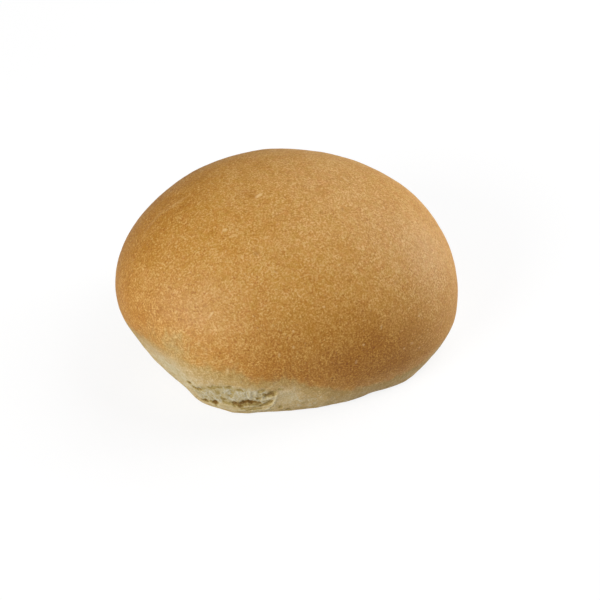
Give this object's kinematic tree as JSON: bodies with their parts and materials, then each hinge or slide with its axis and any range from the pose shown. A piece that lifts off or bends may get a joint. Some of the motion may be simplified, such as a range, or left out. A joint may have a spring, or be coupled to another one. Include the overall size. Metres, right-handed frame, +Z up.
{
  "type": "bread roll",
  "caption": "Soft oval bread roll with a smooth golden domed crust, a paler foot and a torn seam low at the front left.",
  "frame": {"origin": "on the flat sole, under the middle of the roll's box", "axes": "+Z up from the sole, +X along the roll's length, -Y towards the side with the torn seam"},
  "size_m": [0.104, 0.0852, 0.0565],
  "materials": {
    "crust": "matte"
  },
  "bodies": {
    "root": {"bread_roll": "crust"}
  },
  "joints": []
}
